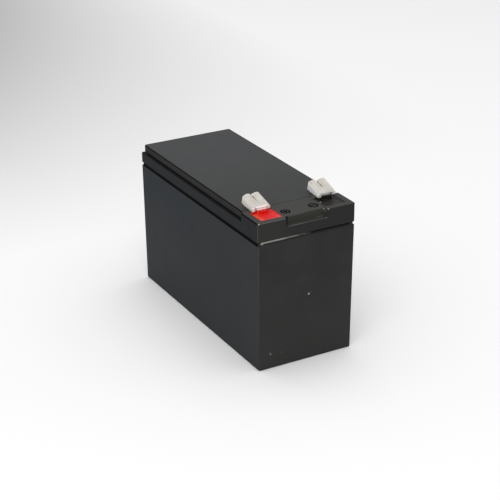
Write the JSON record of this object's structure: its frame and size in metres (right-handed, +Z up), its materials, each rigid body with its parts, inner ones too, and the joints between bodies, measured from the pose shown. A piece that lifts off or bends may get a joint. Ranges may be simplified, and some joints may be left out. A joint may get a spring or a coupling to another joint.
{
  "type": "stairlift battery",
  "caption": "Sealed lead-acid block battery with a flat vent cover, recessed push-on terminals under milky caps, and its cells, plates, mats and straps inside.",
  "frame": {"origin": "centre of the base's underside", "axes": "+X along the block towards both terminals, +Y across it towards the negative terminal, +Z up"},
  "size_m": [0.151, 0.065, 0.1017],
  "materials": {
    "case_plastic": "black moulded plastic, satin",
    "valve_rubber": "black moulded rubber",
    "ring_rubber": "black rubber ring",
    "positive_plate": "brown pasted lead grid with cast strap",
    "negative_plate": "grey pasted lead grid with cast strap",
    "glass_mat": "white absorbent glass mat",
    "lead": "cast lead, dull",
    "red_resin": "red cast resin, uneven",
    "black_resin": "black cast resin, uneven",
    "tinned_brass": "tin plated, bright",
    "milky_plastic": "milky translucent plastic"
  },
  "bodies": {
    "root": {"container": "case_plastic", "cover": "case_plastic", "vent_cover_plate": "case_plastic", "valve_cap_1": "valve_rubber", "valve_cap_2": "valve_rubber", "valve_cap_3": "valve_rubber", "valve_cap_4": "valve_rubber", "valve_cap_5": "valve_rubber", "valve_cap_6": "valve_rubber", "positive_plate_group_1": "positive_plate", "positive_plate_group_2": "positive_plate", "positive_plate_group_3": "positive_plate", "positive_plate_group_4": "positive_plate", "positive_plate_group_5": "positive_plate", "positive_plate_group_6": "positive_plate", "negative_plate_group_1": "negative_plate", "negative_plate_group_2": "negative_plate", "negative_plate_group_3": "negative_plate", "negative_plate_group_4": "negative_plate", "negative_plate_group_5": "negative_plate", "negative_plate_group_6": "negative_plate", "separators_1": "glass_mat", "separators_2": "glass_mat", "separators_3": "glass_mat", "separators_4": "glass_mat", "separators_5": "glass_mat", "separators_6": "glass_mat", "intercell_weld_1": "lead", "intercell_weld_2": "lead", "intercell_weld_3": "lead", "intercell_weld_4": "lead", "intercell_weld_5": "lead", "positive_post": "lead", "negative_post": "lead", "positive_post_ring": "ring_rubber", "negative_post_ring": "ring_rubber", "positive_seal": "red_resin", "negative_seal": "black_resin", "positive_tab": "tinned_brass", "negative_tab": "tinned_brass", "positive_terminal_cap": "milky_plastic", "negative_terminal_cap": "milky_plastic"}
  },
  "joints": []
}
